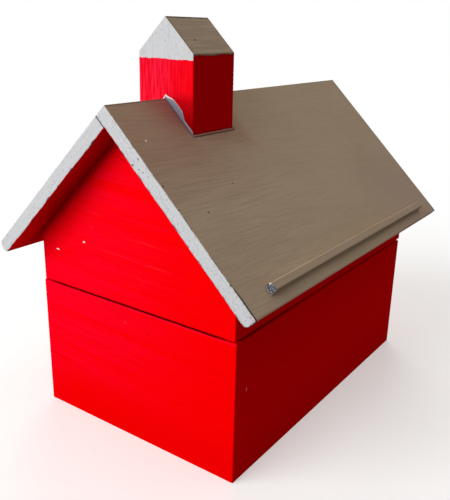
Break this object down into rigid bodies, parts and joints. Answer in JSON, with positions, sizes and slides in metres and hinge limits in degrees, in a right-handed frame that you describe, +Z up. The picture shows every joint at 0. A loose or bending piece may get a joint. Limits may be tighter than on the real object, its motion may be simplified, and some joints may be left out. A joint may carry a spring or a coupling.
{
  "type": "birdhouse",
  "caption": "Red painted wooden birdhouse shaped like a small house: a box with a gabled roof lid, a chimney block and an eave rail. The lid swings up on side hinges.",
  "frame": {"origin": "middle of the base, on the surface that the birdhouse stands on", "axes": "+Z up, -Y out of the front gable, +X to the right seen from the front; the lid's hinges are on -X"},
  "size_m": [0.194, 0.2604, 0.2522],
  "materials": {
    "red_paint": "brushed satin red paint",
    "roof_paint": "brushed taupe paint, light grey on the board ends",
    "chimney_paint": "brushed red paint under a grey painted cap",
    "bare_wood": "bare sanded softwood",
    "hinge_brass": "dull brass",
    "steel": "bright wire steel"
  },
  "bodies": {
    "box": {"floor_board": "bare_wood", "lower_front_wall": "red_paint", "lower_rear_wall": "red_paint", "lower_left_wall": "red_paint", "lower_right_wall": "red_paint", "wall_brads": "steel", "floor_brads": "steel", "front_hinge_lower_leaf": "hinge_brass", "front_hinge_pin": "hinge_brass", "rear_hinge_lower_leaf": "hinge_brass", "rear_hinge_pin": "hinge_brass", "lower_hinge_screws": "hinge_brass"},
    "roof_lid": {"front_gable": "red_paint", "rear_gable": "red_paint", "upper_left_wall": "red_paint", "upper_right_wall": "red_paint", "gable_brads": "steel", "left_roof_board": "roof_paint", "right_roof_board": "roof_paint", "roof_brads": "steel", "ridge_brads": "steel", "chimney": "chimney_paint", "chimney_screws": "steel", "eave_rail": "roof_paint", "rail_brads": "steel", "front_hinge_upper_leaf": "hinge_brass", "rear_hinge_upper_leaf": "hinge_brass", "upper_hinge_screws": "hinge_brass"}
  },
  "joints": [
    {"name": "lid_hinge", "type": "hinge", "parent": "box", "child": "roof_lid", "pos_m": [-0.0778, 0, 0.08915], "axis": [0, -1, 0], "range_deg": [0, 136]}
  ]
}
